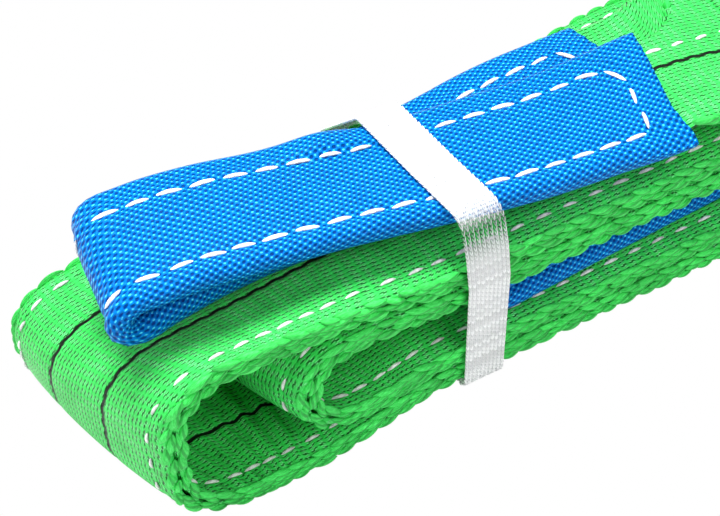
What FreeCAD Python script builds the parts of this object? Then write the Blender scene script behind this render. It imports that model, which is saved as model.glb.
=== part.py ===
"""Two tonne, two metre flat web sling, folded and held by an elastic band.

One strip of 60 mm polyester webbing is laid as a flattened loop: two plies sewn
together along both edges, with a soft eye at each end. The sling is folded into a
bundle of six runs. From the floor up they are: bottom run 1, bottom run 2, eye 2,
top run 2, top run 1 and eye 1, and an elastic band keeps them together.

Frame: X along the bundle, Y towards its rear edge, +Z up. The origin is the middle
of the bundle's box, on the floor. Millimetres.
"""
import FreeCAD, Part
import math
import os

from FreeCAD import Vector

# webbing and thread
WEB_WIDTH = 60.0
PLY = 3.3
PLY_GAP = 0.2
BELT = 2 * PLY + PLY_GAP
HALF_BELT = BELT / 2
THREAD_WIDTH = 1.0
THREAD_HEIGHT = 0.3
THREAD_GAP = 0.25
EDGE_SEAM = 5.0

# bundle
HALF_LENGTH = 184.0
LEFT = -HALF_LENGTH + HALF_BELT
RIGHT = HALF_LENGTH - HALF_BELT
LIFT = 10.0
RUN_PITCH = BELT + 1.0
FLOOR_LEVEL = HALF_BELT
BOTTOM_1 = LIFT + HALF_BELT
BOTTOM_2 = BOTTOM_1 + RUN_PITCH
TOP_2 = 44.4
TOP_1 = TOP_2 + RUN_PITCH
SPLICE_1 = TOP_1 + RUN_PITCH + PLY - 0.4
EASE = 60.0
NIP = 25.0
REAR_SHORT = 7.7

# eyes
EYE_WIDTH = 35.5
EYE_HEIGHT = 7.4
SLEEVE_WALL = 1.1
SLEEVE_FIT = 0.1
CROWN_1 = -157.5
MOUTH_1 = -26.0
CROWN_2 = -73.0
MOUTH_2 = 61.0
SPLICE_1_START = 6.0
SPLICE_2_START = 89.0
SPLICE_2_LEVEL = 32.9
INNER_FOLD = 166.0
SEAM_FRONT = 5.5
SEAM_REAR = 8.5

# splice, lap and label
LAP_START = 9.0
LAP_LENGTH = 80.0
PRESSED_PLY = 2.7
SPLICE_2_LENGTH = 50.0
SPLICE_ROWS = (-18.0, 18.0)
LABEL_LENGTH = 46.0
LABEL_WIDTH = 28.0
LABEL_THICKNESS = 0.6
LABEL_CENTRE = 55.0

# band
BAND_WIDTH = 11.0
BAND_THICKNESS = 1.2
BAND_X = -85.0
BAND_CORNER = 0.5
BAND_CLEAR = 0.4

# Centre line of the sewn body, from splice 1 to splice 2: (x, z, bend radius).
# The front and the rear edge of the webbing follow different lines: at the left
# folds the bundle is pressed flatter at the rear and reaches further out, and at
# the right folds the rear edge stops short by as much, so both are equally long.
FRONT_ROUTE = [
    (SPLICE_1_START, SPLICE_1, 0),
    (129, SPLICE_1, EASE),
    (RIGHT, SPLICE_1 + 4.0, 7.0),
    (RIGHT, TOP_1 - 1.0, 7.0),
    (139, TOP_1, EASE),
    (-97, TOP_1, EASE),
    (-115, TOP_1 + 2.6, EASE),
    (LEFT + 16.1, TOP_1 + 5.0, 17),
    (LEFT + 16.1, FLOOR_LEVEL, 17),
    (-127, FLOOR_LEVEL, EASE),
    (-97, BOTTOM_1, NIP),
    (74, BOTTOM_1, EASE),
    (117, FLOOR_LEVEL, EASE),
    (RIGHT, FLOOR_LEVEL, 19),
    (RIGHT, TOP_2 - 1.0, 19),
    (139, TOP_2, EASE),
    (-97, TOP_2, EASE),
    (-115, TOP_2 + 1.2, EASE),
    (-130.6, TOP_2 + 1.4, 13.5),
    (-130.6, 16.4, 13.5),
    (-110.5, 17.0, NIP),
    (-97, BOTTOM_2, NIP),
    (74, BOTTOM_2, EASE),
    (117, FLOOR_LEVEL + RUN_PITCH, EASE),
    (INNER_FOLD, FLOOR_LEVEL + RUN_PITCH, 10),
    (INNER_FOLD, SPLICE_2_LEVEL, 10),
    (SPLICE_2_START, SPLICE_2_LEVEL, 0),
]
REAR_ROUTE = [(x - REAR_SHORT if x > 150 else x, z, r) for x, z, r in FRONT_ROUTE]
REAR_ROUTE[6] = (-112, 48.6, EASE)
REAR_ROUTE[7] = (LEFT, 32.6, 14)
REAR_ROUTE[8] = (LEFT, FLOOR_LEVEL, 13)
REAR_ROUTE[17] = (-112, 40.8, EASE)
REAR_ROUTE[18] = (-147, 30.8, 9)
REAR_ROUTE[19] = (-147, 10.9, 9)
REAR_ROUTE[20] = (-127, 11.4, NIP)

# Centre lines of the eye legs: (x, y, z), from the crown to the mouth and the splice.
EYE_1 = {
    "upper": [(CROWN_1, 2.7, 68.6), (-129, 1.0, 69.3), (-109, -2.6, 69.2), (-89, -6.5, 68.2),
              (-69, -9.7, 67.8), (MOUTH_1, -13.5, 67.8)],
    "lower": [(CROWN_1, 2.7, 59.9), (-129, 3.0, 61.5), (-109, 3.2, 61.3), (-89, 3.5, 60.4),
              (-69, 3.9, 60.1), (MOUTH_1, 3.9, 60.1)],
    "splice": (SPLICE_1_START, SPLICE_1),
}
EYE_2 = {
    "upper": [(CROWN_2, -9.3, 36.7), (MOUTH_2, -2.0, 36.7)],
    "lower": [(CROWN_2, -9.3, 29.0), (MOUTH_2, -2.0, 29.0)],
    "splice": (SPLICE_2_START, SPLICE_2_LEVEL),
}


def corner_arcs(route, offset):
    """Edges of a line parallel to the route, offset to the left of its travel."""
    points = [Vector(x, 0, z) for x, z, _ in route]
    starts = []
    ends = []
    mids = []
    for i in range(1, len(points) - 1):
        before = (points[i] - points[i - 1]).normalize()
        after = (points[i + 1] - points[i]).normalize()
        turn = math.atan2(before.z * after.x - before.x * after.z,
                          before.x * after.x + before.z * after.z)
        radius = route[i][2]
        reach = radius * math.tan(abs(turn) / 2)
        start = points[i] - before * reach
        end = points[i] + after * reach
        side = 1 if turn < 0 else -1
        left = Vector(-before.z, 0, before.x)
        centre = start + left * (radius * side)
        shifted = radius - offset * side
        starts.append(centre + (start - centre).normalize() * shifted)
        ends.append(centre + (end - centre).normalize() * shifted)
        mids.append(centre + (points[i] - centre).normalize() * shifted)
    first = (points[1] - points[0]).normalize()
    last = (points[-1] - points[-2]).normalize()
    begin = points[0] + Vector(-first.z, 0, first.x) * offset
    finish = points[-1] + Vector(-last.z, 0, last.x) * offset
    edges = []
    at = begin
    for start, mid, end in zip(starts, mids, ends):
        edges.append(("line", at, start))
        edges.append(("arc", start, mid, end))
        at = end
    edges.append(("line", at, finish))
    return edges


def to_edge(spec, y, across=False):
    """A straight or round edge in the plane at y, or across the bundle at that x."""
    points = [Vector(y, p.x, p.z) if across else Vector(p.x, y, p.z) for p in spec[1:]]
    if spec[0] == "line":
        return Part.LineSegment(points[0], points[1]).toShape()
    return Part.Arc(points[0], points[1], points[2]).toShape()


def upper_part(route):
    """The route from splice 1 to the middle of the big left fold's upright stretch."""
    fold = [i for i, point in enumerate(route) if point[0] == min(p[0] for p in route)][0]
    x, z, r = route[fold]
    _, next_z, next_r = route[fold + 1]
    return route[:fold + 1] + [(x, (z - r + next_z + next_r) / 2, 0)]


def between(front, rear, share):
    """Edges at a share of the way from the front edge's line to the rear edge's."""
    return [(a[0], *[p + (q - p) * share for p, q in zip(a[1:], b[1:])])
            for a, b in zip(front, rear)]


def face_between(a, b, y_front, y_rear):
    """Face from a front edge to its fellow at the rear, a plane where the four ends allow it."""
    front = to_edge(a, y_front)
    rear = to_edge(b, y_rear)
    if a[0] == "line":
        p, q, r, s = [v.Point for edge in (front, rear) for v in edge.Vertexes]
        if abs((q - p).cross(r - p).dot(s - p)) < 1e-6:
            return Part.Face(Part.makePolygon([p, q, s, r, p]))
    return Part.makeRuledSurface(front, rear)


def ribbon(low, high, y_front, y_rear, trim=list):
    """Solid between two offsets of the route and between two planes across it."""
    shares = [(y + WEB_WIDTH / 2) / WEB_WIDTH for y in (y_front, y_rear)]
    sides = []
    for offset in (low, high):
        front = corner_arcs(trim(FRONT_ROUTE), offset)
        rear = corner_arcs(trim(REAR_ROUTE), offset)
        sides.append([between(front, rear, share) for share in shares])
    faces = []
    caps = []
    for front, rear in sides:
        for a, b in zip(front, rear):
            faces.append(face_between(a, b, y_front, y_rear))
    for which, y in ((0, y_front), (1, y_rear)):
        inner = sides[0][which]
        outer = sides[1][which]
        edges = [to_edge(spec, y) for spec in inner + outer]
        for end in (0, -1):
            pick = 1 if end == 0 else -1
            p = inner[end][pick]
            q = outer[end][pick]
            edges.append(Part.makeLine(Vector(p.x, y, p.z), Vector(q.x, y, q.z)))
        caps.append(Part.Face(Part.Wire(Part.__sortEdges__(edges))))
    ends = []
    for end, pick in ((0, 1), (-1, -1)):
        edges = []
        for which, y in ((0, y_front), (1, y_rear)):
            p, q = [sides[side][which][end][pick] for side in (0, 1)]
            edges.append(Part.makeLine(Vector(p.x, y, p.z), Vector(q.x, y, q.z)))
        ends.append(Part.makeRuledSurface(edges[0], edges[1]))
    shell = Part.Shell(faces + caps + ends)
    shell.sewShape()
    solid = Part.Solid(shell)
    if solid.Volume < 0:
        solid.reverse()
    return solid


def rectangle(x, y, z, width, low, high):
    """Upright rectangle across the bundle at x, from z + low to z + high."""
    corners = [Vector(x, y - width / 2, z + low), Vector(x, y + width / 2, z + low),
               Vector(x, y + width / 2, z + high), Vector(x, y - width / 2, z + high)]
    return Part.makePolygon(corners + corners[:1])


def eye_track(eye, shift, width, inner, outer, past=0.0):
    """Loop round an eye between two offsets from its mid line, positive outwards."""
    solids = []
    for leg, sign in (("upper", 1), ("lower", -1)):
        low, high = sorted((inner * sign, outer * sign))
        stations = list(eye[leg])
        x, y, z = stations[-1]
        if past:
            stations[-1] = (x + past, y, z)
        wires = [rectangle(x, y + shift, z, width, low, high) for x, y, z in stations]
        solids.append(Part.makeLoft(wires, True, True))
    x, y, top = eye["upper"][0]
    base = eye["lower"][0][2]
    middle = (top + base) / 2
    radius = (top - base) / 2
    side = y + shift - width / 2
    arcs = []
    for r in (radius + inner, radius + outer):
        arcs.append(Part.Arc(Vector(x, side, middle - r), Vector(x - r, side, middle),
                             Vector(x, side, middle + r)).toShape())
    for sign in (-1, 1):
        arcs.append(Part.makeLine(Vector(x, side, middle + sign * (radius + inner)),
                                  Vector(x, side, middle + sign * (radius + outer))))
    crown = Part.Face(Part.Wire(Part.__sortEdges__(arcs))).extrude(Vector(0, width, 0))
    return solids[0].fuse(crown).fuse(solids[1]).removeSplitter()


def sleeve(eye):
    """Woven wear sleeve: a flat tube round the eye, open at its two mouths."""
    half = EYE_HEIGHT / 2
    skin = eye_track(eye, 0, EYE_WIDTH, -half, half)
    room = eye_track(eye, 0, EYE_WIDTH - 2 * SLEEVE_WALL, -half + SLEEVE_WALL,
                     half - SLEEVE_WALL, past=1.0)
    return skin.cut(room)


def eye_webbing(eye):
    """Single ply of the strip, folded narrow in its sleeve, opening flat to the splice."""
    half = EYE_HEIGHT / 2 - SLEEVE_WALL - SLEEVE_FIT
    width = EYE_WIDTH - 2 * (SLEEVE_WALL + SLEEVE_FIT)
    solid = eye_track(eye, 0, width, -half, half)
    end_x, end_z = eye["splice"]
    for leg, sign in (("upper", 1), ("lower", -1)):
        x, y, z = eye[leg][-1]
        low, high = sorted((sign * PLY_GAP / 2, sign * HALF_BELT))
        wires = [rectangle(x, y, z, width, -half, half),
                 rectangle(end_x, 0, end_z, WEB_WIDTH, low, high)]
        solid = solid.fuse(Part.makeLoft(wires, True, True))
    return solid.removeSplitter()


def bar(x0, x1, y0, y1, z0, z1):
    """Upright block between two corners."""
    return Part.makeBox(x1 - x0, y1 - y0, z1 - z0, Vector(x0, y0, z0))


def sleeve_seam(eye):
    """Two rows of thread round the eye's outer face."""
    low = EYE_HEIGHT / 2 + THREAD_GAP
    high = low + THREAD_HEIGHT
    rows = [-EYE_WIDTH / 2 + SEAM_FRONT, EYE_WIDTH / 2 - SEAM_REAR]
    return Part.Compound([eye_track(eye, y, THREAD_WIDTH, low, high, past=-7.0) for y in rows])


def edge_seam(y):
    """Lockstitch along one edge of the body: its thread on both faces.

    Outside, it is left off the runs that lie on the floor, where it sinks in.
    """
    y0 = y - THREAD_WIDTH / 2
    y1 = y + THREAD_WIDTH / 2
    low = HALF_BELT + THREAD_GAP
    high = low + THREAD_HEIGHT
    return Part.Compound([ribbon(low, high, y0, y1), ribbon(-high, -low, y0, y1, upper_part)])


def splice_stitching(start, end, level):
    """Thread on top of a splice: two long rows and the cross rows that join them."""
    z0 = level + HALF_BELT + THREAD_GAP
    z1 = z0 + THREAD_HEIGHT
    half = THREAD_WIDTH / 2
    solids = [bar(start, end, y - half, y + half, z0, z1) for y in SPLICE_ROWS]
    reach = SPLICE_ROWS[1] - half
    for x in (start, end):
        solids.append(bar(x - half, x + half, -reach, reach, z0, z1))
    return Part.Compound(solids)


def lap_tail():
    """End of the strip, lapped under splice 1 and sewn into it."""
    z1 = SPLICE_1 - HALF_BELT - THREAD_GAP - THREAD_HEIGHT - 0.05
    half = WEB_WIDTH / 2
    return bar(LAP_START, LAP_START + LAP_LENGTH, -half, half, z1 - PRESSED_PLY, z1)


def label():
    """Blank identification label, sewn flat on splice 1."""
    z0 = SPLICE_1 + HALF_BELT + 0.02
    solid = bar(LABEL_CENTRE - LABEL_LENGTH / 2, LABEL_CENTRE + LABEL_LENGTH / 2,
                -LABEL_WIDTH / 2, LABEL_WIDTH / 2, z0, z0 + LABEL_THICKNESS)
    upright = [e for e in solid.Edges if abs(e.tangentAt(e.FirstParameter).z) > 0.9]
    return solid.makeFillet(2.0, upright)


def label_stitching():
    """Thread frame that holds the label."""
    z0 = SPLICE_1 + HALF_BELT + 0.02 + LABEL_THICKNESS + 0.02
    x0 = LABEL_CENTRE - LABEL_LENGTH / 2 + 3
    x1 = LABEL_CENTRE + LABEL_LENGTH / 2 - 3
    y1 = LABEL_WIDTH / 2 - 3
    outer = bar(x0, x1, -y1, y1, z0, z0 + THREAD_HEIGHT)
    inner = bar(x0 + 1, x1 - 1, -y1 + 1, y1 - 1, z0 - 1, z0 + 1)
    return outer.cut(inner)


def band():
    """Elastic keeper: a closed loop round all six runs."""
    side = WEB_WIDTH / 2 + BAND_CLEAR
    base = LIFT - BAND_CLEAR
    top = max(z for _, _, z in EYE_1["upper"][3:]) + EYE_HEIGHT / 2
    top += THREAD_GAP + THREAD_HEIGHT + BAND_CLEAR
    corners = [(side, base), (side, 57.0), (26.0, 65.8), (14.5, top), (3 - side, top),
               (-side, top - 4.0), (-side, base)]
    loop = [(0, base, 0)] + [(y, z, BAND_CORNER) for y, z in corners] + [(0, base, 0)]
    x = BAND_X - BAND_WIDTH / 2
    rings = []
    for offset in (0, -BAND_THICKNESS):
        edges = [to_edge(spec, x, across=True) for spec in corner_arcs(loop, offset)]
        rings.append(Part.Face(Part.Wire(Part.__sortEdges__(edges))))
    return rings[1].cut(rings[0]).extrude(Vector(BAND_WIDTH, 0, 0))


def route_length(route):
    """Length of the centre line."""
    return sum(to_edge(spec, 0).Length for spec in corner_arcs(route, 0))


half_width = WEB_WIDTH / 2
parts = {
    "webbing_ply_outer": ribbon(-HALF_BELT, -PLY_GAP / 2, -half_width, half_width),
    "webbing_ply_inner": ribbon(PLY_GAP / 2, HALF_BELT, -half_width, half_width),
    "webbing_lap_tail": lap_tail(),
    "eye_1_webbing": eye_webbing(EYE_1),
    "eye_2_webbing": eye_webbing(EYE_2),
    "eye_1_sleeve": sleeve(EYE_1),
    "eye_2_sleeve": sleeve(EYE_2),
    "eye_1_sleeve_seam": sleeve_seam(EYE_1),
    "eye_2_sleeve_seam": sleeve_seam(EYE_2),
    "edge_seam_front": edge_seam(-half_width + EDGE_SEAM),
    "edge_seam_rear": edge_seam(half_width - EDGE_SEAM),
    "splice_1_stitching": splice_stitching(LAP_START + 3, LAP_START + LAP_LENGTH - 3, SPLICE_1),
    "splice_2_stitching": splice_stitching(SPLICE_2_START + 3, SPLICE_2_START + SPLICE_2_LENGTH,
                                           SPLICE_2_LEVEL),
    "identification_label": label(),
    "label_stitching": label_stitching(),
    "retaining_band": band(),
}

os.makedirs("parts", exist_ok=True)
box = None
for name, shape in parts.items():
    shape.exportStep("parts/" + name + ".step")
    size = shape.BoundBox
    box = size if box is None else box.united(size)
    print("%-24s solids %2d valid %-5s volume %9.0f  x %.1f..%.1f  z %.1f..%.1f" % (
        name, len(shape.Solids), shape.isValid(), shape.Volume,
        size.XMin, size.XMax, size.ZMin, size.ZMax))
print("whole", [round(v, 2) for v in (box.XMin, box.XMax, box.YMin, box.YMax, box.ZMin, box.ZMax)])
print("body centre line, front %.0f, rear %.0f" % (
    route_length(FRONT_ROUTE), route_length(REAR_ROUTE)))
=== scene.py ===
"""Flat web sling, folded and banded: the visual model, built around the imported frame.

Lengths in this script are in millimetres, in the row frame; MM scales them as each mesh
is made. A "grid" is an array of points with one row for each step along a strip and one
column for each place across it.
"""
import math

import bpy
import numpy as np
from mathutils import Matrix, Vector


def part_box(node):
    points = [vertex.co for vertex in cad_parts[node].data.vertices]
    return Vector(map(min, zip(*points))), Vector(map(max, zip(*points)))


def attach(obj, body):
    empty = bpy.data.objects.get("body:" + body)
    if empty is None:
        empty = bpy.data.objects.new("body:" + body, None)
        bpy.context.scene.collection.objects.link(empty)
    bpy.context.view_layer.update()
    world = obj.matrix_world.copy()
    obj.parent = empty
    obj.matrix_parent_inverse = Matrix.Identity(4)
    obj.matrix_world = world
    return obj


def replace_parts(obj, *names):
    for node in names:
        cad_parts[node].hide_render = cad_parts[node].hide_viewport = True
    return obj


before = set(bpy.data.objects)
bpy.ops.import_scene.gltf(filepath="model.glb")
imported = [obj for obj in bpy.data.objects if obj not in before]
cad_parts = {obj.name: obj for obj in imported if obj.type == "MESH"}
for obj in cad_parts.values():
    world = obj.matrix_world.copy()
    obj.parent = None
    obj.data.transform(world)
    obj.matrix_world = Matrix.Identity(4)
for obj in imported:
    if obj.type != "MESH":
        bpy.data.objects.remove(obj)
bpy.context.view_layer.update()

MM = 0.001
TAU = 2 * math.pi
random = np.random.default_rng(748)

# -------- sizes, as in the CAD
WEB_WIDTH = 60.0
HALF_WIDTH = WEB_WIDTH / 2
HALF_BELT = 3.4
PLY_GAP = 0.2
EDGE_SEAM = 5.0
STRIPE = 10.0
LEFT = -180.6
RIGHT = 180.6
FLOOR_LEVEL = HALF_BELT
RUN_PITCH = 7.8
BOTTOM_1 = 13.4
BOTTOM_2 = BOTTOM_1 + RUN_PITCH
TOP_2 = 44.4
TOP_1 = TOP_2 + RUN_PITCH
SPLICE_1 = 62.9
SPLICE_2 = 32.9
SPLICE_1_START = 6.0
SPLICE_2_START = 89.0
INNER_FOLD = 166.0
EASE = 60.0          # bend radius where the belt barely turns
NIP = 25.0           # bend radius where the band pinches it
REAR_SHORT = 7.7     # how much less the folds on the right reach out at the rear edge
REAR_SAG = 8.4       # how far the band draws the upper runs' rear edge down
CLOTH_HALF = HALF_WIDTH - 0.8        # half the width inside the bound edges' yarn
RIPPLE_DEPTH = 0.7   # of the ripples pressed into the inner ply under the left folds
RIPPLE_PITCH = 6.2

EYE_WIDTH = 35.5
EYE_HEIGHT = 6.8
SLEEVE_WALL = 1.1
FRONT_SEAM_AT = -EYE_WIDTH / 2 + 5.5
REAR_SEAM_AT = EYE_WIDTH / 2 - 8.5
CROWN_1 = -160.3
MOUTH_1 = -26.0
CROWN_2 = -73.0
MOUTH_2 = 61.0

BAND_WIDTH = 11.0

X_AXIS, Y_AXIS, Z_AXIS = np.eye(3)

# Centre line of the sewn body along its front edge: (x, z, bend radius).
FRONT_ROUTE = [
    (SPLICE_1_START, SPLICE_1, 0),
    (129, SPLICE_1, EASE),
    (RIGHT, SPLICE_1 + 4.0, 7.0),
    (RIGHT, TOP_1 - 1.0, 7.0),
    (139, TOP_1, EASE),
    (-97, TOP_1, EASE),
    (-115, TOP_1 + 2.6, EASE),
    (LEFT + 16.1, TOP_1 + 5.0, 17),
    (LEFT + 16.1, FLOOR_LEVEL, 17),
    (-127, FLOOR_LEVEL, EASE),
    (-97, BOTTOM_1, NIP),
    (74, BOTTOM_1, EASE),
    (117, FLOOR_LEVEL, EASE),
    (RIGHT, FLOOR_LEVEL, 19),
    (RIGHT, TOP_2 - 1.0, 19),
    (139, TOP_2, EASE),
    (-97, TOP_2, EASE),
    (-115, TOP_2 + 1.2, EASE),
    (-130.6, TOP_2 + 1.4, 13.5),
    (-130.6, 16.4, 13.5),
    (-110.5, 17.0, NIP),
    (-97, BOTTOM_2, NIP),
    (74, BOTTOM_2, EASE),
    (117, FLOOR_LEVEL + RUN_PITCH, EASE),
    (INNER_FOLD, FLOOR_LEVEL + RUN_PITCH, 10),
    (INNER_FOLD, SPLICE_2, 10),
    (SPLICE_2_START, SPLICE_2, 0),
]
REAR_ROUTE = [(x - REAR_SHORT if x > 150 else x, z, r) for x, z, r in FRONT_ROUTE]
REAR_ROUTE[6] = (-112, 48.6, EASE)
REAR_ROUTE[7] = (LEFT, 32.6, 14)
REAR_ROUTE[8] = (LEFT, FLOOR_LEVEL, 13)
REAR_ROUTE[17] = (-112, 40.8, EASE)
REAR_ROUTE[18] = (-147, 30.8, 9)
REAR_ROUTE[19] = (-147, 10.9, 9)
REAR_ROUTE[20] = (-127, 11.4, NIP)

# Each eye's loop: middle points (x, y, z) of its two legs from the crown to the mouths, and
# (x, z) where the sewn splice begins. "skew" is how far askew the tube lies at its upper mouth,
# its crown and its lower mouth. "squeeze" is the x round which it is narrower, and the share.
# The two lengths are those of its sleeve and of its webbing when laid flat.
EYE_1 = {
    "name": "upper_eye",
    "node": "eye_1",
    "sleeve_length": 295.0,
    "webbing_length": 340.0,
    "upper": [(CROWN_1, 2.7, 69.6), (-150, 1.7, 70.1), (-139, 0.6, 70.1), (-126, -2.2, 69.8),
              (-112, -4.9, 69.3), (-98, -7.4, 68.7), (-73, -10.2, 68.0), (-55, -12.5, 67.8),
              (MOUTH_1, -13.2, 67.8)],
    "lower": [(CROWN_1, 3.2, 59.6), (-145, 5.5, 60.2), (-129, 4.7, 61.2), (-109, 1.6, 61.0),
              (-95, 0.0, 60.3), (-85, 1.2, 60.1), (-74, 1.3, 60.0),
              (-58, 3.9, 60.1), (MOUTH_1, 3.9, 60.1)],
    "splice": (SPLICE_1_START, SPLICE_1),
    "skew": (0.25, 0.09, -0.15),
    "squeeze": (-106.0, 0.12),
}
EYE_2 = {
    "name": "lower_eye",
    "node": "eye_2",
    "sleeve_length": 290.0,
    "webbing_length": 335.0,
    "upper": [(CROWN_2, -9.3, 36.7), (MOUTH_2, -2.0, 36.7)],
    "lower": [(CROWN_2, -9.3, 29.0), (MOUTH_2, -2.0, 29.0)],
    "splice": (SPLICE_2_START, SPLICE_2),
    "skew": (0.1, 0.0, 0.1),
    "squeeze": (-20.0, 0.0),
}


# -------- camera, light, floor
def placed(name, data):
    """A new object in the scene."""
    made = bpy.data.objects.new(name, data)
    bpy.context.scene.collection.objects.link(made)
    return made


def camera():
    """Looks down on the left end from the front."""
    target = Vector((-103.1, -4.0, 40.0))
    turn, lift, roll = (math.radians(a) for a in (28.0, 50.8, -1.0))
    distance = 400.1
    back = Vector((-math.sin(turn) * math.cos(lift), -math.cos(turn) * math.cos(lift),
                   math.sin(lift)))
    right = Vector((math.cos(turn), -math.sin(turn), 0))
    up = back.cross(right)
    tilted_right = right * math.cos(roll) + up * math.sin(roll)
    tilted_up = up * math.cos(roll) - right * math.sin(roll)
    data = bpy.data.cameras.new("camera")
    data.sensor_width = 36.0
    data.lens = 82.1
    data.clip_start = 0.01
    holder = placed("camera", data)
    turned = Matrix((tilted_right, tilted_up, back)).transposed().to_4x4()
    holder.matrix_world = Matrix.Translation((target + back * distance) * MM) @ turned
    bpy.context.scene.camera = holder


def area_light(name, place, target, size, power):
    """Soft square light at place, aimed at target, in metres and watts."""
    data = bpy.data.lights.new(name, "AREA")
    data.shape = "SQUARE"
    data.size = size
    data.energy = power
    lamp = placed(name, data)
    lamp.location = place
    lamp.rotation_euler = (Vector(target) - Vector(place)).to_track_quat("-Z", "Y").to_euler()


def studio():
    """White surroundings, a large soft key from behind and above, fills from front and side.

    The floor catches light and shadow as grey paper, but the camera sees it as pure white.
    """
    scene = bpy.context.scene
    scene.view_settings.view_transform = "Standard"
    world = bpy.data.worlds.new("studio")
    scene.world = world
    world.use_nodes = True
    backdrop = world.node_tree.nodes["Background"]
    backdrop.inputs["Color"].default_value = (1.0, 1.0, 1.0, 1.0)
    backdrop.inputs["Strength"].default_value = 0.24
    middle = (-0.08, 0.0, 0.03)
    area_light("key", (-0.14, 0.18, 0.80), middle, size=0.36, power=11.5)
    area_light("front_fill", (0.12, -0.46, 0.62), middle, size=0.4, power=2.6)
    area_light("side_fill", (-0.65, -0.20, 0.40), middle, size=0.5, power=1.7)
    floor = bpy.data.meshes.new("floor")
    edge = 6.0
    floor.from_pydata([(-edge, -edge, 0), (edge, -edge, 0), (edge, edge, 0), (-edge, edge, 0)],
                      [], [(0, 1, 2, 3)])
    ground = placed("floor", floor)
    paper = Graph("floor_paper", specular=0.5)
    paper.finish((0.75, 0.75, 0.75, 1), 0.9)
    shaded = Output(paper, paper.shader.outputs[0])
    seen = paper.node("LightPath", "Is Camera Ray", {})
    blend = paper.node("MixShader", 0, {0: seen, 1: shaded, 2: paper.node("Emission", 0, {})})
    paper.feed(paper.tree.nodes["Material Output"].inputs["Surface"], blend)
    floor.materials.append(paper.material)


# -------- materials
def operator(operation):
    """A Python operator that makes a Math node."""
    return lambda self, other: self.graph.math(operation, self, other)


class Output:
    """A result in a material's node tree. The numbers among them take Python's arithmetic."""

    def __init__(self, graph, socket):
        self.graph = graph
        self.socket = socket

    __add__ = __radd__ = operator("ADD")
    __sub__ = operator("SUBTRACT")
    __mul__ = operator("MULTIPLY")
    __truediv__ = operator("DIVIDE")
    __mod__ = operator("MODULO")
    __pow__ = operator("POWER")

    def __rsub__(self, other):
        return self.graph.math("SUBTRACT", other, self)

    def __abs__(self):
        return self.graph.math("ABSOLUTE", self)


class Graph:
    """A material's node tree, built from results and plain numbers."""

    def __init__(self, name, specular=0.12):
        self.material = bpy.data.materials.new(name)
        self.material.use_nodes = True
        self.tree = self.material.node_tree
        self.shader = self.tree.nodes["Principled BSDF"]
        self.shader.inputs["Specular IOR Level"].default_value = specular

    def feed(self, socket, value):
        """Links a result to an input, or sets a plain value."""
        if isinstance(value, Output):
            self.tree.links.new(value.socket, socket)
        else:
            socket.default_value = value

    def node(self, kind, output, feeds, **settings):
        """One output of a new node with these settings and inputs."""
        made = self.tree.nodes.new("ShaderNode" + kind)
        for name, value in settings.items():
            setattr(made, name, value)
        for place, value in feeds.items():
            self.feed(made.inputs[place], value)
        return Output(self, made.outputs[output])

    def math(self, operation, *values):
        """A Math node's result."""
        return self.node("Math", 0, dict(enumerate(values)), operation=operation)

    def ramp(self, value, low, high, to_low=0.0, to_high=1.0):
        """Smooth step of value from low to high."""
        feeds = {"Value": value, "From Min": low, "From Max": high,
                 "To Min": to_low, "To Max": to_high}
        return self.node("MapRange", "Result", feeds, interpolation_type="SMOOTHSTEP")

    def vector(self, x, y, z=0.0):
        """Three numbers as one vector."""
        return self.node("CombineXYZ", 0, {0: x, 1: y, 2: z})

    def strip(self):
        """The mesh's own coordinates: millimetres along, millimetres across, and a third number."""
        source = self.node("Attribute", "Vector", {}, attribute_name="strip")
        split = self.tree.nodes.new("ShaderNodeSeparateXYZ")
        self.feed(split.inputs[0], source)
        return [Output(self, socket) for socket in split.outputs]

    def noise(self, vector, scale=1.0, detail=2.0):
        """Smooth noise from 0 to 1."""
        return self.node("TexNoise", "Fac", {"Vector": vector, "Scale": scale, "Detail": detail})

    def speckle(self, vector):
        """One random number for each whole-number vector."""
        return self.node("TexWhiteNoise", "Value", {"Vector": vector})

    def mix(self, share, first, second):
        """A colour between two colours, by the node's colour sockets."""
        return self.node("Mix", 2, {0: share, 6: first, 7: second}, data_type="RGBA")

    def dim(self, colour, amount):
        """The colour times a number."""
        return self.node("VectorMath", 0, {0: colour, "Scale": amount}, operation="SCALE")

    def bump(self, height, depth):
        """Relief of that depth in millimetres."""
        feeds = {"Distance": depth * MM, "Strength": 1.0, "Height": height}
        self.feed(self.shader.inputs["Normal"], self.node("Bump", 0, feeds))

    def finish(self, colour, roughness, sheen=0.0, sheen_tint=(1, 1, 1, 1)):
        """Sets the shader and returns the material."""
        self.feed(self.shader.inputs["Base Color"], colour)
        self.feed(self.shader.inputs["Roughness"], roughness)
        self.shader.inputs["Sheen Weight"].default_value = sheen
        self.shader.inputs["Sheen Roughness"].default_value = 0.4
        self.shader.inputs["Sheen Tint"].default_value = sheen_tint
        return self.material


class Yarns:
    """Rows of yarn floats along a strip.

    stagger is how far each second row is ahead, in floats, and waver how far the yarns
    stray, in millimetres.
    """

    def __init__(self, g, pitch_along, pitch_across, stagger, waver):
        self.g = g
        self.along, self.across, self.side = g.strip()
        self.wander = g.noise(g.vector(self.along * 0.13, self.across * 0.13, self.side))
        uneven = (self.wander - 0.5) * waver
        self.rows = (self.across + uneven) / pitch_across
        self.floats = (self.along + uneven) / pitch_along
        row = g.math("FLOOR", self.rows)
        steps = self.floats + (row + 400.0) % 2.0 * stagger
        step = g.math("FLOOR", steps)
        self.place = self.rows - row
        self.travel = steps - step
        self.own = g.speckle(g.vector(row, step, self.side))

    def fibre(self, along, across):
        """Fine grain, with so many specks to the millimetre along and across."""
        place = self.g.vector(self.along * along, self.across * across, self.side)
        return self.g.noise(place, detail=3.0)


def opaque(shades):
    """Colours as the shader wants them."""
    return [(*shade, 1.0) for shade in shades]


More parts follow.
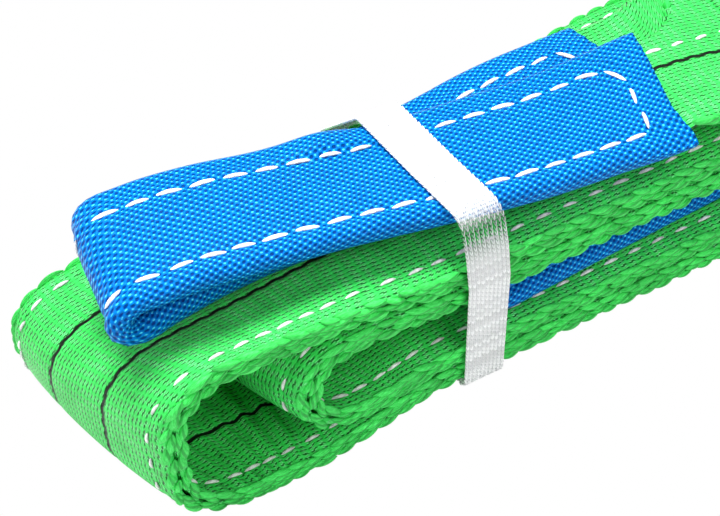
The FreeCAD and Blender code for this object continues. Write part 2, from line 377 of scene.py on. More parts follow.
def webbing_weave(name, shades, pitch_along, pitch_across, depth, roughness, stripes):
    """Webbing: ribs across it with painted sheen on their crests, fine yarns along it with painted
    highlights at their tips, and dark slits between floats.
    """
    deep, body, light = opaque(shades)
    g = Graph(name)
    yarns = Yarns(g, pitch_along, pitch_across, stagger=0.12, waver=0.9)
    travel = yarns.travel
    end = abs(travel - 0.5)
    leaning = yarns.place + (travel - 0.5) * 0.25
    edge = abs(g.math("FRACT", leaning) - 0.5)
    slit = g.ramp(end, 0.07, 0.22) * g.ramp(edge, 0.29, 0.41)
    slit = slit * (0.7 + yarns.own * 0.5)
    # painted highlight: pale colour at both ends of each float, beside the slits
    tip_highlight = g.ramp(end, 0.16, 0.40) * g.ramp(edge, 0.06, 0.24)
    rib = g.math("SINE", travel * math.pi) ** 0.6
    fibre = yarns.fibre(0.7, 7.0)
    # painted sheen: lighter colour on the rib crests, masked by the fibre grain
    sheen = g.ramp(rib, 0.3, 1.0, 0.0, 0.45) * g.ramp(fibre, 0.35, 0.75)
    colour = g.mix(sheen, body, light)
    colour = g.mix(tip_highlight * g.ramp(yarns.wander, 0.2, 0.8, 0.25, 0.95), colour, HIGHLIGHT_GREEN)
    colour = g.mix(slit, colour, deep)
    # tone varies at random by yarn, grain and wander, and the rib term adds a little painted sheen
    # on the rib crests
    tone = 0.80 + yarns.own * 0.16 + (fibre - 0.5) * 0.5 + (yarns.wander - 0.5) * 0.4 + rib * 0.08
    colour = g.dim(colour, tone)
    ridge = g.math("SINE", yarns.place * math.pi)
    relief = rib * 0.5 + ridge * 0.25 + fibre * 0.3 - slit
    for centre in stripes:
        sway = g.math("SINE", yarns.along * (TAU / (2 * pitch_along))) * 0.2
        line = g.ramp(abs(yarns.across + sway - centre), 0.38, 0.62, 1.0, 0.0)
        colour = g.mix(line, colour, STRIPE_BLACK)
        relief = relief - line * 0.8
    g.bump(relief, depth)
    return g.finish(colour, roughness)


def sleeve_weave(name, shades, pitch_along, pitch_across, depth, roughness):
    """Sleeve cloth: rows of rounded floats, each row half a float past the one before, with a
    painted cyan glint beside each float's crest.
    """
    deep, body, light = opaque(shades)
    g = Graph(name, specular=0.05)
    yarns = Yarns(g, pitch_along, pitch_across, stagger=0.5, waver=0.7)
    lean = yarns.floats + yarns.rows * 0.07
    wave = g.math("COSINE", lean * TAU) * g.math("COSINE", yarns.rows * math.pi)
    height = g.ramp(wave, -0.8, 0.35)
    # painted glint: light cyan spots just off each float's crest, masked by the fibre grain
    glint = (g.math("COSINE", (lean - 0.06) * TAU)
             * g.math("COSINE", (yarns.rows - 0.22) * math.pi))
    fibre = yarns.fibre(1.2, 6.0)
    colour = g.mix(g.ramp(height, 0.0, 0.5), deep, body)
    colour = g.mix(g.ramp(glint, 0.58, 0.92) * g.ramp(fibre, 0.34, 0.55), colour, light)
    tone = 0.88 + yarns.own * 0.14 + (fibre - 0.5) * 0.4 + (yarns.wander - 0.5) * 0.3
    g.bump(height + fibre * 0.2, depth)
    return g.finish(g.dim(colour, tone), roughness)


def spun(name, shades, pitch, roughness, depth=0.12):
    """Yarn or thread: strands twisted round each other, with fine fibres."""
    deep, body, light = opaque(shades)
    g = Graph(name)
    along, around, number = g.strip()
    turn = along * (TAU / pitch) + around * 2.0
    strand = (g.math("SINE", turn) + 1.0) * 0.5
    fibre = g.noise(g.vector(along * 0.7, turn * 2.5, number), detail=3.0)
    own = g.speckle(g.vector(number, number))
    colour = g.mix(g.ramp(fibre, 0.3, 0.75), body, light)
    colour = g.mix(g.ramp(strand, 0.0, 0.3, 0.55, 0.0), colour, deep)
    g.bump(strand * 0.7 + fibre, depth)
    return g.finish(g.dim(colour, 0.75 + own * 0.36), roughness, sheen=0.3, sheen_tint=light)


def label_surface():
    """Smooth coated label cloth with a faint grain."""
    g = Graph("label_cloth")
    grain = g.noise(g.vector(*g.strip()), 4.0, 3.0)
    g.bump(grain, 0.05)
    colour = g.dim((0.02, 0.11, 0.42), 0.9 + grain * 0.2)
    return g.finish(colour, g.ramp(grain, 0.2, 0.8, 0.42, 0.6))


def knit_ground():
    """Thin elastic ground: white, see-through where its loops part."""
    g = Graph("knit_ground")
    along, across, loose = g.strip()
    cell = (g.math("SINE", along * (TAU / KNIT_PITCH))
            * g.math("SINE", across * (TAU / KNIT_CELL_WIDTH)))
    hole = g.ramp(abs(cell), 0.5, 0.9)
    g.feed(g.shader.inputs["Alpha"], (0.86 - hole * 0.62) * (1.0 - loose))
    g.bump(cell, 0.08)
    colour = g.mix(hole, (0.9, 0.91, 0.92, 1), (0.4, 0.43, 0.48, 1))
    return g.finish(colour, g.ramp(hole, 0, 1, 0.5, 0.7))


# painted highlight colour for the pale tips of the webbing's floats
HIGHLIGHT_GREEN = (0.25, 1.0, 0.38, 1.0)
STRIPE_BLACK = (0.006, 0.010, 0.006, 1.0)
KNIT_PITCH = 1.55       # length of one loop of the band
KNIT_CELL_WIDTH = 1.13
# the third green shade is the painted sheen colour for the rib crests
GREEN_SHADES = [(0.003, 0.14, 0.012), (0.035, 0.64, 0.085), (0.09, 0.88, 0.21)]
WEBBING_CLOTH = dict(shades=GREEN_SHADES, pitch_along=2.5, pitch_across=1.2, depth=0.26,
                     roughness=0.38)
GREEN = webbing_weave("green_webbing", stripes=(-STRIPE, STRIPE), **WEBBING_CLOTH)
GREEN_FOLDED = webbing_weave("green_eye_webbing", stripes=(-STRIPE,), **WEBBING_CLOTH)
# the third blue shade is the painted glint colour
BLUE = sleeve_weave("blue_sleeve", [(0.0, 0.04, 0.24), (0.0, 0.17, 0.60), (0.08, 0.75, 1.0)],
                    pitch_along=2.25, pitch_across=0.83, depth=0.34, roughness=0.34)
GREEN_YARN = spun("green_yarn", [(0.004, 0.14, 0.016), (0.022, 0.54, 0.06), (0.10, 0.90, 0.18)],
                  pitch=9.0, roughness=0.38)
WHITE_THREAD = spun("white_thread", [(0.55, 0.57, 0.58), (0.88, 0.88, 0.88), (0.95, 0.95, 0.95)],
                    pitch=2.2, roughness=0.5)
LABEL_CLOTH = label_surface()
KNIT = knit_ground()
BAND_YARN = spun("band_yarn", [(0.4, 0.42, 0.46), (0.88, 0.89, 0.9), (0.96, 0.96, 0.96)],
                 pitch=1.6, roughness=0.55, depth=0.05)


# -------- meshes
def grid_faces(rows, columns, wrap=False):
    """Quads of a grid of points, joined round in the second direction if wrap is set."""
    i, j = np.meshgrid(np.arange(rows - 1), np.arange(columns if wrap else columns - 1),
                       indexing="ij")
    k = (j + 1) % columns
    return joined(i * columns + j, (i + 1) * columns + j,
                  (i + 1) * columns + k, i * columns + k).reshape(-1, 4)


def mesh_piece(name, points, faces, strip, material, slot, body="sling"):
    """One smooth-shaded object from points in millimetres and lists of faces with equal corners."""
    mesh = bpy.data.meshes.new(name)
    corners = np.concatenate([f.reshape(-1) for f in faces]).astype(np.int32)
    totals = np.concatenate([np.full(len(f), f.shape[1]) for f in faces]).astype(np.int32)
    starts = np.concatenate([[0], np.cumsum(totals)[:-1]]).astype(np.int32)
    mesh.vertices.add(len(points))
    mesh.vertices.foreach_set("co", (np.asarray(points) * MM).astype(np.float32).reshape(-1))
    mesh.loops.add(len(corners))
    mesh.loops.foreach_set("vertex_index", corners)
    mesh.polygons.add(len(totals))
    mesh.polygons.foreach_set("loop_start", starts)
    mesh.update(calc_edges=True)
    mesh.validate()
    layer = mesh.attributes.new("strip", "FLOAT_VECTOR", "POINT")
    layer.data.foreach_set("vector", np.asarray(strip, np.float32).reshape(-1))
    mesh.shade_smooth()
    mesh.materials.append(material)
    piece = placed(name, mesh)
    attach(piece, body)
    return piece


def shell(name, top, bottom, strip, material, slot, wrap=False, body="sling"):
    """Closed sheet between two grids, its outer one first.

    strip is a grid of two numbers, with a third added that tells the two faces apart, or of
    three where the material needs one of its own.
    """
    rows, columns = top.shape[:2]
    quads = grid_faces(rows, columns, wrap)
    count = rows * columns
    faces = [quads, quads[:, ::-1] + count]
    lines = [(np.arange(columns), wrap), (np.arange(columns)[::-1] + count - columns, wrap)]
    if not wrap:
        side = np.arange(rows) * columns
        lines += [(side[::-1], False), (side + columns - 1, False)]
    for line, round_trip in lines:
        after = np.roll(line, -1) if round_trip else line[1:]
        line = line if round_trip else line[:-1]
        faces.append(joined(line, after, after + count, line + count))
    sides = [strip, strip] if strip.shape[2] == 3 else [
        np.concatenate([strip, np.full((rows, columns, 1), k)], axis=-1) for k in (0.0, 7.0)]
    both = np.concatenate([grid.reshape(-1, 3) for grid in sides])
    points = np.concatenate([top.reshape(-1, 3), bottom.reshape(-1, 3)])
    return mesh_piece(name, points, faces, both, material, slot, body)


def beads(centres, along, side, out, length, wide, deep, bulge, blunt, rings=9, sides=8):
    """Many small spindles of yarn: points, faces and strip coordinates.

    Each lies along its own direction, wide sideways and deep outwards, and arches outwards
    by bulge. blunt near 1 makes pointed ends, near 0 round ones.
    """
    count = len(centres)
    length, wide, deep, bulge = [np.broadcast_to(v, count).reshape(-1, 1, 1)
                                 for v in (length, wide, deep, bulge)]
    t = np.linspace(0, 1, rings).reshape(1, -1, 1)
    angle = (np.arange(sides) * TAU / sides).reshape(1, 1, -1)
    arch = np.sin(math.pi * t)
    swell = np.maximum(arch, 0.004) ** blunt
    a = (t - 0.5) * length + 0 * angle
    b = wide * swell * np.cos(angle)
    c = deep * swell * np.sin(angle) + bulge * arch
    axes = [np.broadcast_to(v, (count, 3)).reshape(count, 1, 1, 3) for v in (along, side, out)]
    points = centres.reshape(count, 1, 1, 3) + sum(
        axis * amount[..., None] for axis, amount in zip(axes, (a, b, c)))
    ring = grid_faces(rings, sides, wrap=True)
    offset = (np.arange(count) * rings * sides).reshape(-1, 1, 1)
    quads = (ring[None] + offset).reshape(-1, 4)
    first = np.arange(sides)[None] + offset[:, :, 0]
    caps = np.concatenate([first[:, ::-1], first + (rings - 1) * sides])
    strip = joined(t * length, angle, np.arange(count).reshape(-1, 1, 1))
    return points.reshape(-1, 3), [quads, caps], strip.reshape(-1, 3)


def merged(groups):
    """Several (points, faces, strip) as one."""
    points, faces, strips = [], {}, []
    base = 0
    for p, fs, s in groups:
        for f in fs:
            faces.setdefault(f.shape[1], []).append(f + base)
        points.append(p)
        strips.append(s)
        base += len(p)
    return (np.concatenate(points), [np.concatenate(f) for f in faces.values()],
            np.concatenate(strips))


def thread_piece(name, groups, node):
    """One object of white stitches, which stands for a node."""
    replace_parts(mesh_piece(name, *merged(groups), WHITE_THREAD, "thread"), node)


def unit(v):
    """Vectors brought to length 1."""
    return v / np.maximum(np.linalg.norm(v, axis=-1, keepdims=True), 1e-9)


def smooth(line, sigma):
    """Gaussian smoothing of a line's points that keeps its ends."""
    reach = int(4 * sigma)
    weights = np.exp(-0.5 * (np.arange(-reach, reach + 1) / sigma) ** 2)
    weights /= weights.sum()
    padded = np.pad(line, ((reach, reach), (0, 0)), mode="reflect", reflect_type="odd")
    return joined(*[np.convolve(column, weights, "valid") for column in padded.T])


def joined(*numbers):
    """Points or vectors from separate numbers, stretched to one shape."""
    return np.stack(np.broadcast_arrays(*numbers), axis=-1)


def eased(x):
    """Smooth step from 0 to 1."""
    x = np.clip(x, 0, 1)
    return x * x * (3 - 2 * x)


def run_of(line):
    """Distance along a line at each of its points."""
    return np.concatenate([[0], np.cumsum(np.linalg.norm(np.diff(line, axis=0), axis=1))])


def closed(line):
    """A closed line with its first point once more at its end."""
    return np.concatenate([line, line[:1]])


def pick(values, places, run=None):
    """The values of a line at fractional rows, or at distances if run has those of its rows."""
    run = np.arange(len(values)) if run is None else run
    return joined(*[np.interp(places, run, column) for column in values.T])


def straight(start, end):
    """A straight run, as a function of a share of its length."""
    return lambda t: start + (end - start) * t[:, None]


def arc(centre, spoke, turn):
    """An arc from the end of a spoke, as a function of a share of its turn."""
    return lambda t: centre + joined(spoke[0] * np.cos(turn * t) - spoke[1] * np.sin(turn * t),
                                     spoke[0] * np.sin(turn * t) + spoke[1] * np.cos(turn * t))


# -------- the sewn body
def route_pieces(route):
    """The straight runs and the arcs of a route, each as (length, function of a share)."""
    points = np.array([(x, z) for x, z, _ in route], float)
    pieces = []
    at = points[0]
    for i in range(1, len(points) - 1):
        before = unit(points[i] - points[i - 1])
        after = unit(points[i + 1] - points[i])
        turn = math.atan2(before[0] * after[1] - before[1] * after[0], before @ after)
        radius = route[i][2]
        reach = radius * math.tan(abs(turn) / 2)
        start = points[i] - before * reach
        centre = start + np.array([-before[1], before[0]]) * math.copysign(radius, turn)
        pieces.append((np.linalg.norm(start - at), straight(at, start)))
        pieces.append((radius * abs(turn), arc(centre, start - centre, turn)))
        at = points[i] + after * reach
    pieces.append((np.linalg.norm(points[-1] - at), straight(at, points[-1])))
    return pieces


class Body:
    """The two sewn plies as one belt: its middle surface, read by row and by place across."""

    def __init__(self, step=1.6):
        pairs = []
        for (a, front), (b, rear) in zip(route_pieces(FRONT_ROUTE), route_pieces(REAR_ROUTE)):
            count = max(2, math.ceil(max(a, b) / step))
            t = np.arange(count) / count
            pairs.append((front(t), rear(t)))
        end = np.array([[SPLICE_2_START, SPLICE_2]])
        self.front, self.rear = [smooth(np.concatenate([*line, end]), 2.2) for line in zip(*pairs)]
        self.length = run_of((self.front + self.rear) / 2)

    def lane(self, across):
        """Middle points and normals along the line at that place across, one row each."""
        share = 1 - (1 - (across + HALF_WIDTH) / WEB_WIDTH) ** 1.5
        flat = self.front + (self.rear - self.front) * share
        x, z = flat.T
        near_band = eased((x + 128) / 30) * eased((-8 - x) / 45) * eased((z - 34) / 5)
        flat[:, 1] -= REAR_SAG * near_band * ((across + HALF_WIDTH) / WEB_WIDTH) ** 6
        along = unit(np.gradient(flat, axis=0))
        return joined(flat[:, 0], across, flat[:, 1]), joined(-along[:, 1], 0.0, along[:, 0])

    def rows_at(self, distances):
        """Fractional row numbers at distances along the belt."""
        return np.interp(distances, self.length, np.arange(len(self.length)))


def groove(across, centre, width, depth):
    """A soft furrow along the strip on both sides."""
    return depth * np.exp(-((np.abs(across) - centre) / width) ** 2)


def sag(across):
    """How far a ply's outer face lies below its full height."""
    edge = np.clip((np.abs(across) - 25.6) / 4.0, 0, 1)
    return (groove(across, HALF_WIDTH - EDGE_SEAM, width=1.1, depth=0.45)
            + groove(across, STRIPE, width=0.7, depth=0.3) + 1.1 * edge ** 2)


def ply(body, name, sign, node):
    """One ply of the belt, on the side that sign gives."""
    plain = np.linspace(-CLOTH_HALF, CLOTH_HALF, 31)
    furrows = [s * c + d for s in (-1, 1) for c in (STRIPE, HALF_WIDTH - EDGE_SEAM)
               for d in (-0.9, 0, 0.9)]
    across = np.unique(np.round(np.concatenate([plain, furrows]), 3))
    lanes = [body.lane(y) for y in across]
    middle, normal = [np.stack(parts, axis=1) for parts in zip(*lanes)]
    wave = 0.12 * np.sin(body.length[:, None] / 6.1 + across / 9.0)
    if sign > 0:
        x, level = middle[:, :, 0], middle[:, :, 2]
        pressed = eased((x + 178) / 8) * eased((-118 - x) / 12) * (level < 9)
        ripple = 1 + np.sin(TAU * body.length[:, None] / RIPPLE_PITCH + across / 14.0)
        wave = wave - RIPPLE_DEPTH * pressed * ripple
    outer = HALF_BELT - sag(across) + wave
    inner = PLY_GAP / 2 + 0.5 * np.clip((np.abs(across) - 25) / 5, 0, 1)
    far = middle + normal * (sign * outer)[..., None]
    near = middle + normal * (sign * inner)[:, None]
    strip = joined(body.length[:, None], across)
    top, bottom = (far, near) if sign > 0 else (near, far)
    piece = shell(name, top, bottom, strip, GREEN, "webbing")
    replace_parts(piece, node)
    return piece


# The two rows of loops at a bound edge: height over the belt's middle, start in pitches, length
# and half height of a loop.
LOOP_ROWS = [(2.25, 0.0, 7.2, 1.2), (0.9, 0.5, 6.8, 1.05)]


def edge_loops(middle, normal, rows_at, length, sign, edge, pitch=6.1):
    """The loops of yarn that bind one edge of a ply: two staggered rows of spindles.

    sign is the ply's side of the belt, and edge the way outwards from the cloth.
    """
    groups = []
    for height, start, long, tall in LOOP_ROWS:
        distances = np.arange(3 + start * pitch, length - 2, pitch)
        count = len(distances)
        distances = distances + random.uniform(-0.7, 0.7, count)
        rows = rows_at(distances)
        out = np.array([0.0, edge, 0.0])
        n = unit(pick(normal, rows)) * sign
        spot = pick(middle, rows) + n * (height + random.uniform(-0.15, 0.15, (count, 1)))
        along = np.cross(n, Y_AXIS)
        tilt = random.uniform(-0.05, 0.34, (count, 1))
        turned = unit(along * np.cos(tilt) + n * np.sin(tilt))
        turned = unit(turned + out * random.uniform(-0.14, 0.02, (count, 1)))
        side = unit(np.cross(out, turned))
        size = random.uniform(0.8, 1.15, count)
        groups.append(beads(spot, turned, side, out, long * size, tall * size,
                            random.uniform(0.65, 0.95, count), 0.3, 0.62))
    return merged(groups)


def selvedge(body, name, sign, edge):
    """The bound edge of one ply of the belt."""
    middle, normal = body.lane(edge * CLOTH_HALF)
    group = edge_loops(middle, normal, body.rows_at, body.length[-1], sign, edge)
    mesh_piece(name, *group, GREEN_YARN, "webbing")


SUNK = 0.2           # how far stitches sink into the belt


def stitches(centres, along, out, long, wide, lift):
    """Thread lying on a surface, one spindle to each stitch."""
    count = len(centres)
    side = unit(np.cross(out, along))
    turn = random.uniform(-0.1, 0.1, (count, 1))
    along = unit(along * np.cos(turn) + side * np.sin(turn))
    side = unit(np.cross(out, along))
    size = random.uniform(0.9, 1.1, count)
    return beads(centres - out * 0.15, along, side, out, long * size, wide * size, 0.42, lift, 0.4)


def edge_seam(body, name, across, node, pitch=7.3):
    """Lockstitch along one edge of the belt, on both of its faces."""
    groups = []
    middle, normal = body.lane(across)
    for sign in (-1, 1):
        distances = np.arange(2.5, body.length[-1] - 2, pitch) + random.uniform(-0.3, 0.3)
        rows = body.rows_at(distances)
        n = unit(pick(normal, rows)) * sign
        spot = pick(middle, rows) + n * (HALF_BELT - SUNK)
        along = unit(np.cross(n, Y_AXIS))
        groups.append(stitches(spot, along, n, long=4.2, wide=0.46, lift=0.3))
    thread_piece(name, groups, node)


# -------- the eyes
MOUTH_FLARE = 0.08   # share by which the upper mouth is wider
PUFF = 26.0          # rise of the rear margin where the tube is squeezed, for a share of 1
MOUTH_DROOP = 1.7    # how far the front margin hangs at the upper mouth


class Eye:
    """The loop of one eye: its mid line from the upper mouth round the crown to the lower mouth."""

    def __init__(self, spec, step=1.5):
        self.spec = spec
        self.name = spec["name"]
        self.node = spec["node"]
        legs = []
        for leg in ("upper", "lower"):
            stations = np.array(spec[leg], float)
            length = stations[-1, 0] - stations[0, 0]
            x = stations[0, 0] + np.linspace(0, length, math.ceil(length / step) + 1)
            legs.append(joined(x, *pick(stations[:, 1:], x, stations[:, 0]).T))
        top, base = legs[0][0], legs[1][0]
        radius = (top[2] - base[2]) / 2
        angle = np.linspace(0, math.pi, 9)[1:-1]
        crown = joined(top[0] - radius * np.sin(angle), top[1],
                       (top[2] + base[2]) / 2 + radius * np.cos(angle))
        line = np.concatenate([legs[0][::-1], crown, legs[1]])
        gentle = smooth(line, 5.0)
        tight = smooth(line, 1.0)
        rows_off = np.abs(np.arange(len(line)) - len(line) / 2)
        near_crown = eased(1 - rows_off / 16)[:, None]
        self.line = gentle * (1 - near_crown) + tight * near_crown
        self.along = unit(np.gradient(self.line, axis=0))
        across = unit(Y_AXIS - self.along * self.along[:, 1:2])
        self.out = np.cross(across, self.along)
        self.length = run_of(self.line)
        first, crown_skew, last = spec["skew"]
        skew = (first * eased(1 - self.length / 45)
                + last * eased(1 - (self.length[-1] - self.length) / 45)
                + crown_skew * near_crown[:, 0])
        centre, share = spec["squeeze"]
        width = 1 - share * np.exp(-((self.line[:, 0] - centre) / 24.0) ** 2)
        width += MOUTH_FLARE * eased(1 - self.length / 28)
        self.across = (across + np.outer(skew, X_AXIS)) * width[:, None]
        half = len(self.line) // 2
        self.puff = PUFF * share
        self.puff_at = np.interp(3.0 - centre, -self.line[:half, 0], self.length[:half])

    def surface(self, across, height):
        """Grid of points over the loop, at places across and heights."""
        return (self.line[:, None] + self.across[:, None] * across[:, None]
                + self.out[:, None] * height[..., None])

    def spot(self, distance, across, height):
        """Points on the loop, with the directions along and out there."""
        rows = np.interp(distance, self.length, np.arange(len(self.length)))
        parts = (self.line, self.along, self.across, self.out)
        line, along, side, out = [pick(part, rows) for part in parts]
        return (line + side * np.reshape(across, (-1, 1)) + out * np.reshape(height, (-1, 1)),
                unit(along), unit(side), unit(out))

    def droop(self, length, across, height):
        """The margins' own height: the front one hangs and flares, the rear one puffs up."""
        bend = np.exp(-((length - self.length[-1] / 2) / 20) ** 2)
        puffed = np.exp(-((length - self.puff_at) / 11) ** 2) * eased((height + 1.5) / 3)
        hanging = eased((-across - 10) / 7) * eased(1 - length / 24) * (height > 0)
        return (eased((-across - 8) / 8) * bend + self.puff * eased((across - 7) / 6) * puffed
                - MOUTH_DROOP * hanging)


def ring_outline():
    """The flat tube's outline: places across and heights, from the middle of its inner face."""
    corner = 2.9
    half = EYE_WIDTH / 2
    flat = np.linspace(-half + corner, half - corner, 34)
    turn = np.linspace(math.pi / 2, -math.pi / 2, 9)[1:-1]
    rear = joined(half - corner + corner * np.cos(turn), EYE_HEIGHT / 2 * np.sin(turn))
    top = joined(flat, EYE_HEIGHT / 2)
    loop = np.concatenate([top, rear, top[::-1] * (1, -1), rear[::-1] * (-1, 1)])
    return np.roll(loop, -(len(top) + len(rear) + len(top) // 2), axis=0)


def drawn_in(y):
    """Share of the tube's height left by its two seams at a place across."""
    pinch = sum(0.15 * np.exp(-((y - c) / 1.3) ** 2) for c in (FRONT_SEAM_AT, REAR_SEAM_AT))
    return 1 - pinch - 0.3 * eased((y - REAR_SEAM_AT - 0.5) / 4)


def sleeve(eye):
    """Woven wear sleeve: a flat tube round the loop, drawn in along its two seams."""
    loop = ring_outline()
    y, h = loop[:, 0], loop[:, 1]
    h = h * drawn_in(y)
    length = np.concatenate([[0], np.cumsum(np.hypot(np.diff(y), np.diff(h)))])
    run = eye.length[:, None]
    wave = 1 + 0.03 * np.sin(run / 7.3 + y / 5) * np.sin(run / 3.1 - y / 2.2)
    hang = eye.droop(run, y, h)
    hook = 0.42 * np.maximum(-y - 9, 0)[:, None] * (eased(1 - run / 30)[..., None] * X_AXIS)
    grids = []
    for inset in (0, SLEEVE_WALL):
        height = h * (1 - 2 * inset / EYE_HEIGHT)
        grids.append(eye.surface(y * (1 - 2 * inset / EYE_WIDTH), height * wave + hang) + hook)
    grids.append(joined(run, length))
    outside, inside, strip = [grid[:, ::-1] for grid in grids]
    piece = shell(eye.name + "_sleeve", outside, inside, strip, BLUE, "sleeve", wrap=True)
    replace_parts(piece, eye.node + "_sleeve")


def rounded_loop(corners, step=0.5):
    """Points along a closed line of (along, across, corner radius)."""
    start = (*[(a + b) / 2 for a, b in zip(corners[0], corners[1])][:2], 0)
    line = []
    for length, curve in route_pieces([start, *corners[1:], corners[0], start]):
        count = max(1, math.ceil(length / step))
        line.append(curve(np.arange(count) / count))
    return np.concatenate(line)


def sleeve_seam(eye, pitch=7.4):
    """White stitching: both rows and the rounded ends that join them near the mouths."""
    first = 8.0
    last = eye.length[-1] - 8.0
    line = closed(rounded_loop([(first, REAR_SEAM_AT, 9.0), (last, REAR_SEAM_AT, 5.0),
                                (last, FRONT_SEAM_AT, 0.6), (first, FRONT_SEAM_AT, 0.6)]))
    run = run_of(line)
    whole = run[-1]
    count = round(whole / pitch)
    at = (np.arange(count) + 0.05) * whole / count
    place, ahead, back = [pick(line, np.mod(at + d, whole), run) for d in (0, 1.5, -1.5)]
    way = unit(ahead - back)
    length, across = place.T
    groups = []
    for face in (1, -1):
        height = face * (EYE_HEIGHT / 2 * drawn_in(across)) + eye.droop(length, across, face)
        points, along, side, out = eye.spot(length, across, height)
        heading = unit(along * way[:, :1] + side * way[:, 1:])
        groups.append(stitches(points, heading, out * face, long=6.1, wide=0.56, lift=0.4))
    thread_piece(eye.name + "_seam", groups, eye.node + "_sleeve_seam")


LAYER = 1.8          # the webbing's thickness where the sleeve presses it
TURN = 0.95          # radius of its fold, to the middle of the layer
FOLD_HALF = 15.2     # half the folded width
FLAT_LAYER = 3.2     # the webbing's thickness where it lies free


def folded_line(q, front, fold):
    """Places and normals across a strip folded under at its rear: (y, h), (ny, nh).

    q is the distance from the strip's front edge; front and fold are the places of that
    edge and of the fold's outermost point.
    """
    flat = fold - TURN - front
    angle = np.clip((q - flat) / TURN, 0, math.pi)
    past = np.maximum(q - flat - math.pi * TURN, 0)
    y = front + np.minimum(q, flat) + TURN * np.sin(angle) - past
    return (y, TURN * np.cos(angle)), (np.sin(angle), np.cos(angle))


def eye_webbing(eye):
    """The single ply of an eye: folded in half in the sleeve, opening flat to the splice."""
    by_stripes = [HALF_WIDTH + s * STRIPE + d for s in (-1, 1) for d in (-0.8, 0, 0.8)]
    q = np.unique(np.concatenate([np.linspace(0, WEB_WIDTH, 49), by_stripes]))
    end_x, end_z = eye.spec["splice"]
    share = np.linspace(1, 0, 19)[:, None]
    open_rows = []
    for leg, sign in (("upper", 1), ("lower", -1)):
        x, y, z = eye.spec[leg][-1]
        wide = eased(share ** 2.2)
        front = (y - FOLD_HALF) * (1 - wide) - HALF_WIDTH * wide
        fold = (y + FOLD_HALF) * (1 - wide) + (HALF_WIDTH + TURN) * wide
        level = z * (1 - eased(share)) + (end_z + sign * 1.75 - sign * TURN) * eased(share)
        (across, height), (ny, nh) = folded_line(q[None], front, fold)
        middle = joined(x + (end_x - x) * share, across, level + sign * height)
        normal = joined(0 * share, ny, sign * nh)
        thick = LAYER + (FLAT_LAYER - LAYER) * eased(share) + 0 * across
        open_rows.append((middle, normal, thick))
    (across, height), (ny, nh) = folded_line(q, -FOLD_HALF, FOLD_HALF)
    middle = eye.surface(across, height)
    normal = eye.across[:, None] * ny[:, None] + eye.out[:, None] * nh[:, None]
    inside = (middle, normal, np.full(middle.shape[:2], LAYER))
    lower = [grid[::-1] for grid in open_rows[1]]
    middle, normal, thick = [np.concatenate([a, b[2:-2], c])
                             for a, b, c in zip(open_rows[0], inside, lower)]
    edge = 1 - 0.55 * np.clip((np.abs(q - HALF_WIDTH) - 26.5) / 3.5, 0, 1) ** 2
    half = (thick / 2 * edge)[..., None]
    run = run_of(middle[:, 12])
    strip = joined(run[:, None], q - HALF_WIDTH)
    piece = shell(eye.name + "_webbing", middle - normal * half, middle + normal * half, strip,
                  GREEN_FOLDED, "webbing")
    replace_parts(piece, eye.node + "_webbing")
    groups = []
    for (rows, _, _), sign in zip(open_rows, (1, -1)):
        line = rows[::-1, 0] + np.array([0, -0.4, -sign * 0.5])
        groups.append(level_edge(line, np.linalg.norm(line[-1] - line[0]), sign, -1.0))
    mesh_piece(eye.name + "_webbing_selvedge", *merged(groups), GREEN_YARN, "webbing")


def level_edge(line, length, sign, edge):
    """Edge loops along a line that lies level, with its points evenly apart."""
    return edge_loops(line, np.tile(Z_AXIS, (len(line), 1)),
                      lambda d: d / length * (len(line) - 1), length, sign, edge)


TAIL_HALF = 29.3     # half the lap tail's width inside its edge loops


def lap_tail():
    """The strip's end, lapped under splice 1, with its own bound edges."""
    low, high = [np.array(c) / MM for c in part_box("webbing_lap_tail")]
    x = np.linspace(low[0], high[0], 41)
    y = np.linspace(-TAIL_HALF, TAIL_HALF, 41)
    at_x, at_y = np.meshgrid(x, y, indexing="ij")
    middle = (low[2] + high[2]) / 2
    half = (high[2] - low[2]) / 2 * (1 - 0.5 * np.clip((np.abs(at_y) - 26) / 4, 0, 1) ** 2)
    top, bottom = [joined(at_x, at_y, middle + s * half) for s in (1, -1)]
    piece = shell("lap_tail", bottom, top, joined(at_x, at_y), GREEN, "webbing")
    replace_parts(piece, "webbing_lap_tail")
    line = joined(x, 0.0, middle - 1.4)
    groups = [level_edge(line + [0, edge * TAIL_HALF, 0], x[-1] - x[0], 1, edge)
              for edge in (-1, 1)]
    mesh_piece("lap_tail_selvedge", *merged(groups), GREEN_YARN, "webbing")


SPLICE_ROW = 18.0    # place across of a splice's outer rows
MIDDLE_ROW = -3.0


def stitch_places(start, end, pitch):
    """Middles of the stitches in a row from start to end."""
    count = max(1, int((end - start) / pitch))
    return start + (np.arange(count) + 0.5) * (end - start) / count


def splice_seam(name, start, end, level, node, lead=0.0, gap=None):
    """Stitching over a splice: long rows, cross rows at its ends, and a middle row that leads in.

    lead is how far the middle row starts before the others, and gap, as x from, x to and half
    width, a patch that stays free of stitches.
    """
    top = level + HALF_BELT - SUNK
    rows = []
    for y in (-SPLICE_ROW, MIDDLE_ROW, SPLICE_ROW):
        x = stitch_places(start - (lead if y == MIDDLE_ROW else 0), end, 7.3)
        if gap is not None:
            x = x[(abs(y) > gap[2]) | (x < gap[0]) | (x > gap[1])]
        climb = eased((SPLICE_1_START - x) / (SPLICE_1_START - MOUTH_1)) if lead else 0
        rows.append((joined(x, y, top + climb * 3.6), X_AXIS))
    for x in (start, end):
        rows.append((joined(x, stitch_places(-SPLICE_ROW, SPLICE_ROW, 6.0), top), Y_AXIS))
    groups = [stitches(spot, along, Z_AXIS, long=4.6, wide=0.5, lift=0.35) for spot, along in rows]
    thread_piece(name, groups, node)


